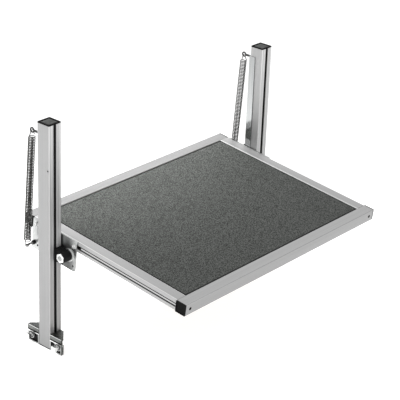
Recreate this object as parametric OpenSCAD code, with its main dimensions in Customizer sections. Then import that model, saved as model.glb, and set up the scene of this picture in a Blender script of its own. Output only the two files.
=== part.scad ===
// Height-adjustable footrest for a workbench. A framed platform climbs between
// two slotted posts and holds itself at any height by canting: a shoe on each
// side presses on the front of its post and a pad above it on the rear.
// Two long springs carry most of the platform's weight.
// Millimetres. X runs across, Y from front to rear and Z up. The origin lies
// midway between the posts, on the plane of their feet.

/* [Posts] */
// Height of a post over its two end caps
post_h = 600; // [560:5:700]
// Side of the square post section
post_side = 40; // [38:1:44]
// Corner radius of the post section
post_corner = 2.5; // [1:0.5:4]
// Width of a post slot's mouth
post_slot = 8.2; // [7.8:0.1:8.6]
// Width of the bevels at a post slot's mouth
post_bevel = 1.4; // [0.4:0.1:1.6]
// Thickness of the lips beside a post slot
post_lip = 4.5; // [4:0.25:5]
// Distance from a slot's centre to the shallow flute on either side of it
flute_out = 12.5; // [11:0.25:13.5]
// Depth of those flutes
flute_sink = 0.5; // [0.3:0.05:0.8]
// Thickness of a post's end cap
post_cap = 3; // [2:0.5:5]
// Width of the raised rim round an end cap
cap_rim = 3; // [2:0.5:5]

/* [Wear strips] */
// Thickness of the bent wear strip
strip_t = 2; // [1.5:0.25:3]
// Width of the leg on the post's inner face
strip_side = 17; // [12:1:20]
// Width of the leg on the post's rear face
strip_back = 32; // [30:1:35]
// Distance from the post's top to the strip's top
strip_top = 29; // [26:1:34]
// Height of the strip's lower end
strip_foot = 62; // [56:1:80]
// Distance from the post's top to the stop hole in its outer face
stop_down = 117; // [80:1:160]
// Distance from the post's front face to that hole
stop_in = 4; // [3.5:0.25:7]
// Radius of the stop hole
stop_hole_r = 1.7; // [1.2:0.1:2]

/* [Foot brackets] */
// Length of the wall that lies on the bench leg
bracket_l = 40; // [38:1:46]
// Width of the wall that lies on the post
bracket_w = 36; // [34:0.5:38]
// Height of a bracket
bracket_h = 44; // [40:1:48]
// Wall thickness of a bracket
bracket_t = 5; // [4:0.5:6]
// Thickness of a bracket's two webs
bracket_web = 4; // [3:0.5:5]
// Distance from the post to the outer screw
bracket_hole = 27; // [26:0.5:28]
// Radius of the bracket screws
bracket_screw_r = 4; // [3:0.5:4]
// Depth of the recesses in a bracket's outer face
bracket_recess = 2.4; // [1:0.2:2.8]
// Space between a bracket and its outer slot nut
bench_grip = 10; // [5:1:12]

/* [Platform frame] */
// Width of the frame
frame_w = 730; // [600:5:900]
// Depth of the frame
frame_d = 535; // [480:5:620]
// Side of the square rail section
rail = 30; // [29:0.5:32]
// Corner radius of the rail section
rail_corner = 1.5; // [1:0.25:2.5]
// Width of a rail slot's mouth
rail_slot = 8.2; // [7.8:0.1:8.6]
// Width of the bevels at a rail slot's mouth
rail_bevel = 0.6; // [0.3:0.1:1]
// Thickness of the lips beside a rail slot
rail_lip = 2; // [1.5:0.25:2.5]
// Thickness of the caps on the rail ends
rail_cap = 3; // [2:0.25:3.5]
// Width of the rib of a cover strip, which shows in the slot's mouth
cover_rib = 5.8; // [4.5:0.1:6.4]
// Radius of the key hole in the front of a rail
key_hole_r = 3.5; // [3:0.25:4]
// Slope of the platform, rear edge up
cant = 6; // [3:0.5:8]
// Height of the rear pads' axis above the feet
grip_h = 297; // [285:1:330]

/* [Standing surface] */
// Thickness of the board's rebated edge, which lies in the frame's slots
board_edge = 8; // [6:0.5:8]
// How far the rebated edge enters a slot
board_in = 7; // [5:0.5:7.5]
// Gap between the mat and the frame
mat_gap = 1.5; // [0.5:0.25:3]
// How far the mat lies below the frame's top
mat_sink = 1; // [0.5:0.25:2]
// Thickness of the mat
mat_t = 3; // [2:0.5:5]

/* [Side plates] */
// Thickness of a side plate
plate_t = 4; // [3:0.5:6]
// Height of a side plate
plate_h = 85; // [80:1:95]
// Corner radius of a side plate
plate_corner = 4; // [2:0.5:8]
// Play between a side plate and the wear strip
plate_play = 1; // [0.5:0.25:2]
// From the shoe's bolt to the plate's front edge
plate_nose = 25; // [22:0.5:30]
// From the pad's bolt to the plate's rear edge
plate_tail = 50; // [44:0.5:60]
// Radius of the two spare holes in a plate
spare_hole_r = 2.5; // [1.5:0.25:3]

/* [Shoes and pads] */
// Length of a front shoe along its bolt
shoe_len = 22; // [16:0.5:24]
// From the shoe's flat face to its bolt
shoe_reach = 20.7; // [19:0.1:22]
// Radius of the shoe's round nose
shoe_r = 14; // [12:0.5:16]
// Height of the shoe's face above its bolt
shoe_up = 19; // [16:0.5:22]
// Height of the shoe's face below its bolt
shoe_down = 16; // [14:0.5:18]
// How far the shoe's bolt lies below the pad's, across the plate
shoe_drop = 32; // [28:0.5:34]
// Radius of the shoe's bolt
shoe_bolt_r = 7; // [5:0.5:7]
// Radius of the washer between shoe and plate
washer_r = 17; // [14:0.5:18]
// Thickness of that washer
washer_t = 3; // [2:0.25:4]
// Length of a rear pad along its bolt
pad_len = 14; // [11:0.5:14]
// From the pad's flat face to its bolt
pad_reach = 10; // [9:0.5:12]
// Half the height of the pad's face
pad_half = 16; // [12:0.5:18]
// Space between a side plate and its pad, for the collar on the pad's bolt
pad_space = 6; // [5.5:0.25:8]
// Radius of the pad's bolt
pad_bolt_r = 4; // [3:0.5:5]
// Gap between a sliding face and its post
slide_gap = 0.3; // [0.2:0.05:0.5]
// Radial running clearance round a bolt
run_fit = 0.05; // [0.02:0.01:0.1]

/* [Springs] */
// Outer diameter of a spring
spring_d = 19; // [15:0.5:20]
// Diameter of the spring wire
wire_d = 2.2; // [1.6:0.1:2.6]
// Turns of a spring
turns = 42; // [30:1:42]
// Distance from the post's top to the eye
eye_down = 39; // [36:1:42]
// Distance from the post's rear face to the eye's centre
eye_out = 38; // [34:1:44]
// Mean radius of the eye
eye_r = 5.5; // [5:0.25:6.5]
// Radius of the eye's rod
eye_rod_r = 2; // [1.5:0.25:2]
// Radius of the bolt shank and of the spring pin
pin_r = 3; // [2.5:0.25:3]
// Distance from the plate's rear edge to the spring pin
pin_in = 7.5; // [7:0.5:12]
// Distance from the plate's lower edge to the spring pin
pin_up = 17; // [14:0.5:22]

/* [Hidden] */
$fn = 48;

// Small allowance that lets one shape cut cleanly through another
over = 1;
// Radial clearance between a screw and its hole or nut
screw_fit = 0.1;
hole_fit = 0.25;

// Across the footrest
post_half = post_side / 2;
plate_out = frame_w / 2 + plate_t;
post_in = plate_out + plate_play + strip_t;
post_x = post_in + post_half;
post_out = post_in + post_side;

// Post section
post_core_r = 3.4;
post_core_half = 5;
post_hollow = post_side / 2;
post_slot_depth = post_lip + 7.75;
chamber_wall = 2.5;
flute_r = 5;
cap_plug = 10;
cap_sink = 1;

// Rail section
rail_core_r = 3.4;
rail_core_half = 3;
rail_hollow = rail / 2;
rail_slot_depth = rail_lip + 7;
rail_mid = rail / 2;

// The plates in the platform's own frame: Y from its front edge, Z from its top
plate_rear = frame_d - rail - 0.5;
pad_u = plate_rear - plate_tail;
pad_n = -rail_mid;
pad_y = post_half + strip_t + slide_gap + pad_reach;
shoe_y = -(post_half + slide_gap + shoe_reach);
shoe_u = pad_u + (shoe_y - pad_y - shoe_drop * sin(cant)) / cos(cant);
shoe_n = pad_n - shoe_drop;
plate_front = shoe_u - plate_nose;
screw_inset = 7.5;
front_screw_u = plate_front + screw_inset;
rear_screw_u = plate_rear - screw_inset - 4;
pin_u = plate_rear - pin_in;
pin_n = -plate_h + pin_up;
spare_n = -plate_h + 14;
spare_u = [plate_front + screw_inset, pin_u - 13];

// A point of the platform's frame as it lies in the whole
function placed_y(u, n) = pad_y + (u - pad_u) * cos(cant) - (n - pad_n) * sin(cant);
function placed_z(u, n) = grip_h + (u - pad_u) * sin(cant) + (n - pad_n) * cos(cant);
shoe_z = placed_z(shoe_u, shoe_n);

// Heights on the posts
eye_z = post_h - eye_down;
eye_y = post_half + eye_out;
strip_end = 14;
strip_screw_z = strip_foot + strip_end;
bracket_hole_z = 19;
bracket_head_r = 6.5;
bracket_head_t = 8;

// Screws, heads and nuts
plate_screw_r = 3;
plate_screw_head_r = 7;
plate_screw_head_t = 4;
head_gap = 0.3;
hex_af = 22;
hex_t = 3.5;
small_af = 10;
pad_collar_af = 13;
small_nut_t = 5;
post_nut_w = 14;
post_nut_t = 5;
rail_nut_w = 11;
rail_nut_t = 3.5;

module sided(s) {
    if (s < 0) mirror([1, 0, 0]) children();
    else children();
}

module rounded_rect(w, d, r) {
    square([w - 2 * r, d], center = true);
    square([w, d - 2 * r], center = true);
    for (x = [-1, 1], y = [-1, 1])
        translate([x * (w / 2 - r), y * (d / 2 - r)]) circle(r);
}

// Slot seen from its end: the face is the X axis and the slot opens upwards
module slot_shape(mouth, bevel, lip, hollow, depth, core) {
    wall = lip + 2;
    polygon([
        [-mouth / 2 - bevel - over, over], [mouth / 2 + bevel + over, over],
        [mouth / 2, -bevel], [mouth / 2, -lip], [hollow / 2, -lip],
        [hollow / 2, -wall], [core, -depth], [-core, -depth],
        [-hollow / 2, -wall], [-hollow / 2, -lip], [-mouth / 2, -lip],
        [-mouth / 2, -bevel]
    ]);
}

module post_section() {
    chamber_x = (post_half + post_hollow / 2) / 2 + 0.2;
    chamber_w = post_half - post_hollow / 2 - 2 * chamber_wall + 0.4;
    difference() {
        rounded_rect(post_side, post_side, post_corner);
        for (a = [0, 180])
            rotate(a) translate([0, post_half])
                slot_shape(post_slot, post_bevel, post_lip, post_hollow, post_slot_depth, post_core_half);
        for (a = [0, 180], s = [-1, 1])
            rotate(a) translate([s * flute_out, post_half + flute_r - flute_sink]) circle(flute_r);
        circle(post_core_r);
        for (s = [-1, 1])
            translate([s * chamber_x, 0]) rounded_rect(chamber_w, post_side - 12, 1);
    }
}

// Rail seen from its end, with a slot on each face that an angle names
module rail_section(faces) {
    difference() {
        rounded_rect(rail, rail, rail_corner);
        for (a = faces)
            rotate(a) translate([0, rail_mid])
                slot_shape(rail_slot, rail_bevel, rail_lip, rail_hollow, rail_slot_depth, rail_core_half);
        circle(rail_core_r);
    }
}

// Fasteners stand on the XY plane: heads above it, shanks below
module hex_prism(af, t) {
    cylinder(d = af / cos(30), h = t, $fn = 6);
}

module hex_bolt(r, length, af, head_t) {
    difference() {
        hex_prism(af, head_t);
        translate([0, 0, head_t - 0.5]) cylinder(r = af * 0.36, h = over);
    }
    translate([0, 0, -length]) cylinder(r = r, h = length + over);
}

module socket_screw(r, length, head_r, head_t) {
    difference() {
        cylinder(r = head_r, h = head_t);
        translate([0, 0, head_t * 0.45]) hex_prism(r * 1.5, head_t);
    }
    translate([0, 0, -length]) cylinder(r = r, h = length + over);
}

module nut(af, t, bore_r) {
    difference() {
        hex_prism(af, t);
        translate([0, 0, -over]) cylinder(r = bore_r, h = t + 2 * over);
    }
}

// Nut that lies behind the lips of a slot, below the XY plane
module slot_nut(mouth, lip, width, t, bore_r) {
    neck = lip - 0.5;
    difference() {
        union() {
            translate([-width / 2, -width / 2, -lip - t]) cube([width, width, t]);
            translate([-(mouth - 0.4) / 2, -width / 2, -lip - over])
                cube([mouth - 0.4, width, neck + over]);
        }
        translate([0, 0, -lip - t - over]) cylinder(r = bore_r, h = lip + t + 2 * over);
    }
}

// Posts and what is fixed to them, drawn for the right-hand side

module post() {
    difference() {
        translate([post_x, 0, post_cap]) linear_extrude(post_h - 2 * post_cap) post_section();
        translate([post_out - chamber_wall - over, stop_in - post_half, post_h - stop_down])
            rotate([0, 90, 0]) cylinder(r = stop_hole_r, h = chamber_wall + 2 * over);
    }
}

module end_cap(section, corner, t, plug_r, plug) {
    difference() {
        linear_extrude(t) rounded_rect(section, section, corner);
        translate([0, 0, t - cap_sink]) linear_extrude(cap_sink + over)
            rounded_rect(section - 2 * cap_rim, section - 2 * cap_rim, corner);
    }
    translate([0, 0, -plug]) cylinder(r = plug_r, h = plug + over);
}

module post_top_cap() {
    translate([post_x, 0, post_h - post_cap])
        end_cap(post_side, post_corner, post_cap, post_core_r - screw_fit, cap_plug);
}

module post_foot_cap() {
    translate([post_x, 0, post_cap]) rotate([180, 0, 0])
        end_cap(post_side, post_corner, post_cap, post_core_r - screw_fit, cap_plug);
}

module wear_strip() {
    low_x = post_in - strip_t;
    rear_y = post_half + strip_t;
    high_x = post_in + strip_back;
    difference() {
        translate([0, 0, strip_foot])
            linear_extrude(post_h - strip_top - strip_foot)
                polygon([
                    [low_x, post_half - strip_side], [post_in, post_half - strip_side],
                    [post_in, post_half], [high_x, post_half],
                    [high_x, rear_y], [low_x, rear_y]
                ]);
        for (z = [eye_z, strip_screw_z])
            translate([post_x, post_half - over, z]) rotate([-90, 0, 0])
                cylinder(r = pin_r + hole_fit, h = strip_t + 2 * over);
    }
}

module on_post_rear(z) {
    translate([post_x, post_half, z]) rotate([-90, 0, 0]) children();
}

module strip_screw() {
    head_r = 5;
    head_t = 3;
    on_post_rear(strip_screw_z) translate([0, 0, strip_t])
        socket_screw(pin_r, strip_t + post_lip + post_nut_t, head_r, head_t);
}

module strip_slot_nuts() {
    for (z = [eye_z, strip_screw_z])
        on_post_rear(z) slot_nut(post_slot, post_lip, post_nut_w, post_nut_t, pin_r + screw_fit);
}

module eye_bolt() {
    held = post_lip + post_nut_t;
    on_post_rear(eye_z) translate([0, 0, -held]) cylinder(r = pin_r, h = held + eye_out - eye_r);
    translate([post_x, eye_y, eye_z]) rotate([0, 90, 0])
        rotate_extrude() translate([eye_r, 0]) circle(eye_rod_r);
}

module eye_bolt_nut() {
    on_post_rear(eye_z) translate([0, 0, strip_t]) nut(small_af, small_nut_t, pin_r + screw_fit);
}

// A bracket stands at its inner corner: X along the post, Y along the bench leg.
// Its outer face has a plain rim, a groove and a pocket with ribs that run to a
// ring round the bench screw
module foot_bracket() {
    edge = 3;
    rim = 12;
    groove = 3;
    ridge = 2.5;
    nose = 12;
    tip = bracket_t + 3;
    ring_r = 10.6;
    moat_r = 8.5;
    boss_r = 6;
    rib_t = 2.6;
    pocket_top = bracket_h - rim - groove - ridge;
    difference() {
        union() {
            cube([bracket_w, bracket_t, bracket_h]);
            cube([bracket_t, bracket_l, bracket_h]);
            for (z = [0, bracket_h - bracket_web])
                translate([0, 0, z]) linear_extrude(bracket_web)
                    polygon([[0, 0], [bracket_w, 0], [bracket_w, nose], [tip, bracket_l], [0, bracket_l]]);
        }
        translate([-over, edge, bracket_h - rim - groove])
            cube([bracket_recess + over, bracket_l - 2 * edge, groove]);
        difference() {
            translate([-over, edge, edge])
                cube([bracket_recess + over, bracket_l - 2 * edge, pocket_top - edge]);
            translate([-2 * over, bracket_hole, bracket_hole_z]) rotate([0, 90, 0])
                cylinder(r = ring_r, h = bracket_recess + 4 * over);
            for (a = [35, 145])
                translate([-2 * over, bracket_hole, bracket_hole_z]) rotate([a, 0, 0])
                    translate([0, 0, -rib_t / 2]) cube([bracket_recess + 4 * over, bracket_l, rib_t]);
        }
        translate([-over, bracket_hole, bracket_hole_z]) rotate([0, 90, 0]) {
            cylinder(r = bracket_screw_r + hole_fit, h = bracket_t + 2 * over);
            difference() {
                cylinder(r = moat_r, h = bracket_recess + over);
                cylinder(r = boss_r, h = bracket_recess + over);
            }
        }
        translate([post_half, -over, bracket_hole_z]) rotate([-90, 0, 0])
            cylinder(r = bracket_screw_r + hole_fit, h = bracket_t + 2 * over);
    }
}

// Places a bracket, or what goes with one, at the front or the rear of a post
module at_foot(rear) {
    mirror([0, rear ? 1 : 0, 0])
        translate([post_out, -post_half, 0]) rotate([0, 0, 180]) children();
}

module bracket_post_screw() {
    translate([post_half, bracket_t, bracket_hole_z]) rotate([-90, 0, 0])
        socket_screw(bracket_screw_r, bracket_t + post_lip + post_nut_t, bracket_head_r, bracket_head_t);
}

module bracket_post_nut() {
    translate([post_half, 0, bracket_hole_z]) rotate([-90, 0, 0])
        slot_nut(post_slot, post_lip, post_nut_w, post_nut_t, bracket_screw_r + screw_fit);
}

// Its nut stands ready for the slot of a bench leg
module bracket_bench_screw() {
    translate([bracket_t, bracket_hole, bracket_hole_z]) rotate([0, 90, 0])
        socket_screw(bracket_screw_r, bracket_t + bench_grip + post_nut_t, bracket_head_r, bracket_head_t);
}

module bracket_bench_nut() {
    bench_lip = 4;
    translate([bench_lip - bench_grip, bracket_hole, bracket_hole_z]) rotate([0, 90, 0])
        slot_nut(post_slot, bench_lip, post_nut_w, post_nut_t, bracket_screw_r + screw_fit);
}

// Springs: one tube along hook, coil and hook, in a frame whose origin is the
// spring pin's centre and whose Z axis runs to the eye's centre

pin_y = placed_y(pin_u, pin_n);
pin_z = placed_z(pin_u, pin_n);
spring_span = norm([eye_y - pin_y, eye_z - pin_z]);
spring_lean = atan2(eye_y - pin_y, eye_z - pin_z);
wire_r = wire_d / 2;
coil_r = spring_d / 2 - wire_r;
hook_r = 5.6;
hook_gap = 0.3;
coil_low = 12;
coil_high = spring_span - 16.5;
bend_h = 5;
bend_turn = 50;
low_hook_z = hook_r - pin_r - hook_gap - wire_r;
high_hook_z = spring_span - eye_r + eye_rod_r + hook_gap + wire_r - hook_r;
turn_from = 90;
turn_to = 360 * turns;
turn_step = 45;
bend_steps = [0.25, 0.5, 0.75];
wire_sides = 6;

function coil_z(a) = coil_low + (coil_high - coil_low) * (a - turn_from) / (turn_to - turn_from);
function around(r, a, z) = [r * cos(a), r * sin(a), z];
function spread(z, hook_z, coil_end) =
    hook_r + (coil_r - hook_r) * (z - hook_z) / (coil_end - hook_z);

function low_hook() = concat(
    [for (z = [coil_low - 3.5, coil_low - 6]) [0, -spread(z, low_hook_z, coil_low), z]],
    [for (a = [180 : 22.5 : 360]) [0, hook_r * cos(a), low_hook_z + hook_r * sin(a)]],
    [[0, spread(coil_low - bend_h, low_hook_z, coil_low), coil_low - bend_h]],
    [for (s = bend_steps)
        around(coil_r, turn_from + bend_turn * s * s,
            coil_z(turn_from + bend_turn * s * s) - bend_h * (1 - s) * (1 - s))]
);

function coil() = [for (a = [turn_from + bend_turn : turn_step : turn_to - bend_turn]) around(coil_r, a, coil_z(a))];

function high_hook() = concat(
    [for (i = [len(bend_steps) - 1 : -1 : 0]) let (s = bend_steps[i])
        around(coil_r, turn_to - bend_turn * s * s,
            coil_z(turn_to - bend_turn * s * s) + bend_h * (1 - s) * (1 - s))],
    [[spread(coil_high + bend_h, high_hook_z, coil_high), 0, coil_high + bend_h]],
    [for (a = [0 : 22.5 : 180]) [hook_r * cos(a), 0, high_hook_z + hook_r * sin(a)]],
    [for (z = [coil_high + 6, coil_high + 3.5]) [-spread(z, high_hook_z, coil_high), 0, z]]
);

spring_path = concat(low_hook(), coil(), high_hook());

function unit(v) = v / norm(v);
function heading(p, i) = unit(p[min(i + 1, len(p) - 1)] - p[max(i - 1, 0)]);
function square_to(v, t) = unit(v - (v * t) * t);
function ring(c, t, n, r, sides) = let (b = cross(t, n))
    [for (k = [0 : sides - 1]) c + r * (cos(360 * k / sides) * n + sin(360 * k / sides) * b)];

module tube(path, r, sides) {
    last = len(path) - 1;
    sideways = [for (i = 0, n = square_to([1, 0, 0], heading(path, 0)); i <= last;
        i = i + 1, n = square_to(n, heading(path, min(i, last)))) n];
    points = [for (i = [0 : last]) each ring(path[i], heading(path, i), sideways[i], r, sides)];
    walls = [for (i = [0 : last - 1], k = [0 : sides - 1])
        let (a = i * sides + k, b = i * sides + (k + 1) % sides, c = a + sides, d = b + sides)
        each [[a, c, b], [b, c, d]]];
    start = [for (k = [1 : sides - 2]) [0, k, k + 1]];
    finish = [for (k = [1 : sides - 2]) [last * sides, last * sides + k + 1, last * sides + k]];
    polyhedron(points = points, faces = concat(start, walls, finish), convexity = 10);
}

module spring() {
    translate([post_x, pin_y, pin_z]) rotate([-spring_lean, 0, 0])
        tube(spring_path, wire_r, wire_sides);
}

// Least space between turns of the wire, measured on the path's points
apart = 6;
least_gap = min([for (i = [0 : len(spring_path) - 1 - apart])
    min([for (j = [i + apart : min(i + 20, len(spring_path) - 1)])
        norm(spring_path[i] - spring_path[j])])]) - wire_d;
echo(spring_least_gap = least_gap, spring_rings = len(spring_path));

// The platform, in its own frame

module platform() {
    translate([0, pad_y, grip_h]) rotate([cant, 0, 0]) translate([0, -pad_u, -pad_n]) children();
}

// Draws along X what is outlined in the frame's depth and height
module across(x0, x1) {
    translate([x0, 0, 0]) rotate([90, 0, 90]) linear_extrude(x1 - x0) children();
}

module cross_rail() {
    difference() {
        across(-frame_w / 2, frame_w / 2) translate([rail_mid, -rail_mid]) rail_section([-90, 180]);
        for (s = [-1, 1])
            translate([s * (frame_w / 2 - rail_mid), -over, -rail_mid]) rotate([-90, 0, 0])
                cylinder(r = key_hole_r, h = rail - rail_slot_depth + 2 * over);
    }
}

// The rear rail is the front one turned round
module rear_cross_rail() {
    translate([0, frame_d, 0]) rotate([0, 0, 180]) cross_rail();
}

module side_rail() {
    translate([frame_w / 2 - rail_mid, frame_d - rail, -rail_mid]) rotate([90, 0, 0])
        linear_extrude(frame_d - 2 * rail) rail_section([-90, 90, 180]);
}

module rail_end_cap(u) {
    plug = 6;
    translate([frame_w / 2, u, -rail_mid]) rotate([0, 90, 0])
        end_cap(rail, rail_corner, rail_cap, rail_core_r - screw_fit, plug);
}

// Lies in the side rail's slot from the front rail to just short of the plate: a
// base fits the mouth, and a narrower rib on it leaves a shadow line at each side
module cover_strip() {
    bare_slot = 11;
    skin = 1.5;
    leg = 4;
    leg_t = 0.9;
    width = rail_slot - 0.6;
    start = rail + 0.5;
    length = plate_front - bare_slot - start;
    out = frame_w / 2 - 0.2;
    translate([out - skin, start, -rail_mid - cover_rib / 2]) cube([skin, length, cover_rib]);
    translate([out - skin - leg_t, start, -rail_mid - width / 2]) cube([leg_t, length, width]);
    for (z = [-width / 2, width / 2 - leg_t])
        translate([out - skin - leg, start, -rail_mid + z]) cube([leg, length, leg_t]);
}

// Head behind the lips of the cross rail's slot, shank in the side rail's bore
module corner_screw() {
    head_r = 5.5;
    head_t = 3;
    grip = 20;
    translate([frame_w / 2 - rail_mid, rail - rail_lip, -rail_mid]) rotate([90, 0, 0])
        socket_screw(rail_core_r - screw_fit, rail_lip + grip, head_r, head_t);
}

// Slab centred in the frame, its four edges an even distance from the frame's outside
module slab(edge, low, high, corner) {
    translate([0, frame_d / 2, low]) linear_extrude(high - low)
        rounded_rect(frame_w - 2 * edge, frame_d - 2 * edge, corner);
}

module board() {
    mid = -rail_mid;
    slab(rail - board_in, mid - board_edge / 2, mid + board_edge / 2, 1);
    slab(rail + mat_gap, mid, -mat_sink - mat_t, 1);
}

module rubber_mat() {
    slab(rail + mat_gap, -mat_sink - mat_t, -mat_sink, 1);
}

module plate_outline() {
    length = plate_rear - plate_front;
    translate([(plate_rear + plate_front) / 2, -plate_h / 2]) rounded_rect(length, plate_h, plate_corner);
}

module plate_hole(u, n, r) {
    translate([frame_w / 2 - over, u, n]) rotate([0, 90, 0]) cylinder(r = r, h = plate_t + 2 * over);
}

module side_plate() {
    difference() {
        across(frame_w / 2, plate_out) plate_outline();
        for (u = [front_screw_u, rear_screw_u]) plate_hole(u, pad_n, plate_screw_r + hole_fit);
        plate_hole(pad_u, pad_n, pad_bolt_r + screw_fit);
        plate_hole(shoe_u, shoe_n, shoe_bolt_r + screw_fit);
        plate_hole(pin_u, pin_n, pin_r + screw_fit);
        for (u = spare_u) plate_hole(u, spare_n, spare_hole_r);
    }
}

module outward(x, u, n) {
    translate([x, u, n]) rotate([0, 90, 0]) children();
}

module plate_screw(u) {
    flange_t = 1;
    held = plate_t + rail_lip + 4;
    outward(plate_out, u, pad_n) {
        cylinder(r = plate_screw_head_r, h = flange_t);
        hex_bolt(plate_screw_r, held, small_af, plate_screw_head_t);
    }
}

module plate_slot_nut(u, bore_r) {
    outward(frame_w / 2, u, pad_n) slot_nut(rail_slot, rail_lip, rail_nut_w, rail_nut_t, bore_r);
}

// Its hexagonal collar is screwed against the plate and the pad turns beyond it
module pad_bolt() {
    head_t = 3;
    held = plate_t + rail_lip + 4;
    reach = pad_space + pad_len + head_gap;
    outward(plate_out, pad_u, pad_n) {
        translate([0, 0, -held]) cylinder(r = pad_bolt_r, h = held + reach + over);
        hex_prism(pad_collar_af, pad_space - head_gap);
        translate([0, 0, reach]) cylinder(r = pad_bolt_r + 2, h = head_t);
    }
}

module shoe_bolt() {
    outward(plate_out + washer_t + shoe_len + 2 * head_gap, shoe_u, shoe_n)
        hex_bolt(shoe_bolt_r, shoe_len + 2 * head_gap + washer_t + plate_t + 10, hex_af, hex_t);
}

module shoe_washer() {
    outward(plate_out, shoe_u, shoe_n) difference() {
        cylinder(r = washer_r, h = washer_t);
        translate([0, 0, -over]) cylinder(r = shoe_bolt_r + screw_fit, h = washer_t + 2 * over);
    }
}

module shoe_bolt_nut() {
    nut_t = 8;
    outward(frame_w / 2 - nut_t, shoe_u, shoe_n) nut(hex_af, nut_t, shoe_bolt_r + screw_fit);
}

module spring_pin() {
    hook_play = 2;
    collar_t = 2;
    collar_r = pin_r + 1.5;
    past_nut = 1;
    collar_x = post_x + wire_r + hook_play;
    inner_x = frame_w / 2 - small_nut_t - past_nut;
    outward(inner_x, pin_u, pin_n) cylinder(r = pin_r, h = collar_x + collar_t + past_nut - inner_x);
    outward(collar_x, pin_u, pin_n) cylinder(r = collar_r, h = collar_t);
}

module spring_pin_nuts() {
    outward(frame_w / 2 - small_nut_t, pin_u, pin_n) nut(small_af, small_nut_t, pin_r + screw_fit);
    outward(plate_out, pin_u, pin_n) nut(small_af, small_nut_t, pin_r + screw_fit);
}

// Shoe and pad outlines: the bolt is the origin and the post lies on the far side
module grip_outline(reach, nose_r, up, down) {
    circle(nose_r);
    polygon([[0, -nose_r], [reach, -down], [reach, up], [0, nose_r]]);
}

module front_shoe() {
    outer = plate_out + washer_t + head_gap;
    difference() {
        translate([0, shoe_y, shoe_z]) across(outer, outer + shoe_len)
            grip_outline(shoe_reach, shoe_r, shoe_up, shoe_down);
        translate([outer - over, shoe_y, shoe_z]) rotate([0, 90, 0])
            cylinder(r = shoe_bolt_r + run_fit, h = shoe_len + 2 * over);
    }
}

module rear_pad() {
    outer = plate_out + pad_space;
    difference() {
        translate([0, pad_y, grip_h]) across(outer, outer + pad_len)
            mirror([1, 0]) grip_outline(pad_reach, pad_reach - 1, pad_half, pad_half);
        translate([outer - over, pad_y, grip_h]) rotate([0, 90, 0])
            cylinder(r = pad_bolt_r + run_fit, h = pad_len + 2 * over);
    }
}

module pair() {
    for (s = [-1, 1]) sided(s) children();
}

color("silver") sided(-1) post();  // left_post
color("silver") sided(1) post();  // right_post
color("dimgray") pair() post_top_cap();  // post_top_caps
color("dimgray") pair() post_foot_cap();  // post_foot_caps
color("lightgray") sided(-1) wear_strip();  // left_wear_strip
color("lightgray") sided(1) wear_strip();  // right_wear_strip
color("gainsboro") pair() strip_screw();  // strip_screws
color("gainsboro") pair() strip_slot_nuts();
color("gray") sided(-1) eye_bolt();  // left_eye_bolt
color("gray") sided(1) eye_bolt();  // right_eye_bolt
color("gainsboro") pair() eye_bolt_nut();  // eye_bolt_nuts
color("slategray") sided(-1) at_foot(false) foot_bracket();  // left_front_bracket
color("slategray") sided(-1) at_foot(true) foot_bracket();  // left_rear_bracket
color("slategray") sided(1) at_foot(false) foot_bracket();  // right_front_bracket
color("slategray") sided(1) at_foot(true) foot_bracket();  // right_rear_bracket
color("dimgray") pair() for (r = [false, true]) at_foot(r) bracket_post_screw();  // bracket_post_screws
color("gainsboro") pair() for (r = [false, true]) at_foot(r) bracket_post_nut();  // bracket_post_nuts
color("gainsboro") pair() for (r = [false, true]) at_foot(r) bracket_bench_screw();  // bracket_bench_screws
color("gainsboro") pair() for (r = [false, true]) at_foot(r) bracket_bench_nut();  // bracket_bench_nuts
color("darkgray") sided(-1) spring();  // left_spring
color("darkgray") sided(1) spring();  // right_spring
color("black") sided(-1) rear_pad();  // left_rear_pad
color("black") sided(1) rear_pad();  // right_rear_pad
color("silver") platform() cross_rail();  // front_rail
color("silver") platform() rear_cross_rail();  // rear_rail
color("silver") sided(-1) platform() side_rail();  // left_side_rail
color("silver") sided(1) platform() side_rail();  // right_side_rail
color("black") pair() platform() for (u = [rail_mid, frame_d - rail_mid]) rail_end_cap(u);  // rail_end_caps
color("lightgray") sided(-1) platform() cover_strip();  // left_cover_strip
color("lightgray") sided(1) platform() cover_strip();  // right_cover_strip
color("gainsboro") pair() platform() {  // corner_screws
        corner_screw();
        translate([0, frame_d, 0]) mirror([0, 1, 0]) corner_screw();
    }
color("tan") platform() board();
color("dimgray") platform() rubber_mat();
color("lightgray") sided(-1) platform() side_plate();  // left_side_plate
color("lightgray") sided(1) platform() side_plate();  // right_side_plate
color("gainsboro") pair() platform() for (u = [front_screw_u, rear_screw_u]) plate_screw(u);  // plate_screws
color("gainsboro") pair() platform() {  // plate_slot_nuts
        for (u = [front_screw_u, rear_screw_u]) plate_slot_nut(u, plate_screw_r + screw_fit);
        plate_slot_nut(pad_u, pad_bolt_r + screw_fit);
    }
color("gainsboro") pair() platform() pad_bolt();  // pad_bolts
color("gainsboro") sided(-1) platform() shoe_bolt();  // left_shoe_bolt
color("gainsboro") sided(1) platform() shoe_bolt();  // right_shoe_bolt
color("gainsboro") pair() platform() shoe_washer();  // shoe_washers
color("gainsboro") pair() platform() shoe_bolt_nut();  // shoe_bolt_nuts
color("gray") sided(-1) platform() spring_pin();  // left_spring_pin
color("gray") sided(1) platform() spring_pin();  // right_spring_pin
color("dimgray") pair() platform() spring_pin_nuts();
color("black") sided(-1) front_shoe();  // left_front_shoe
color("black") sided(1) front_shoe();  // right_front_shoe
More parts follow.
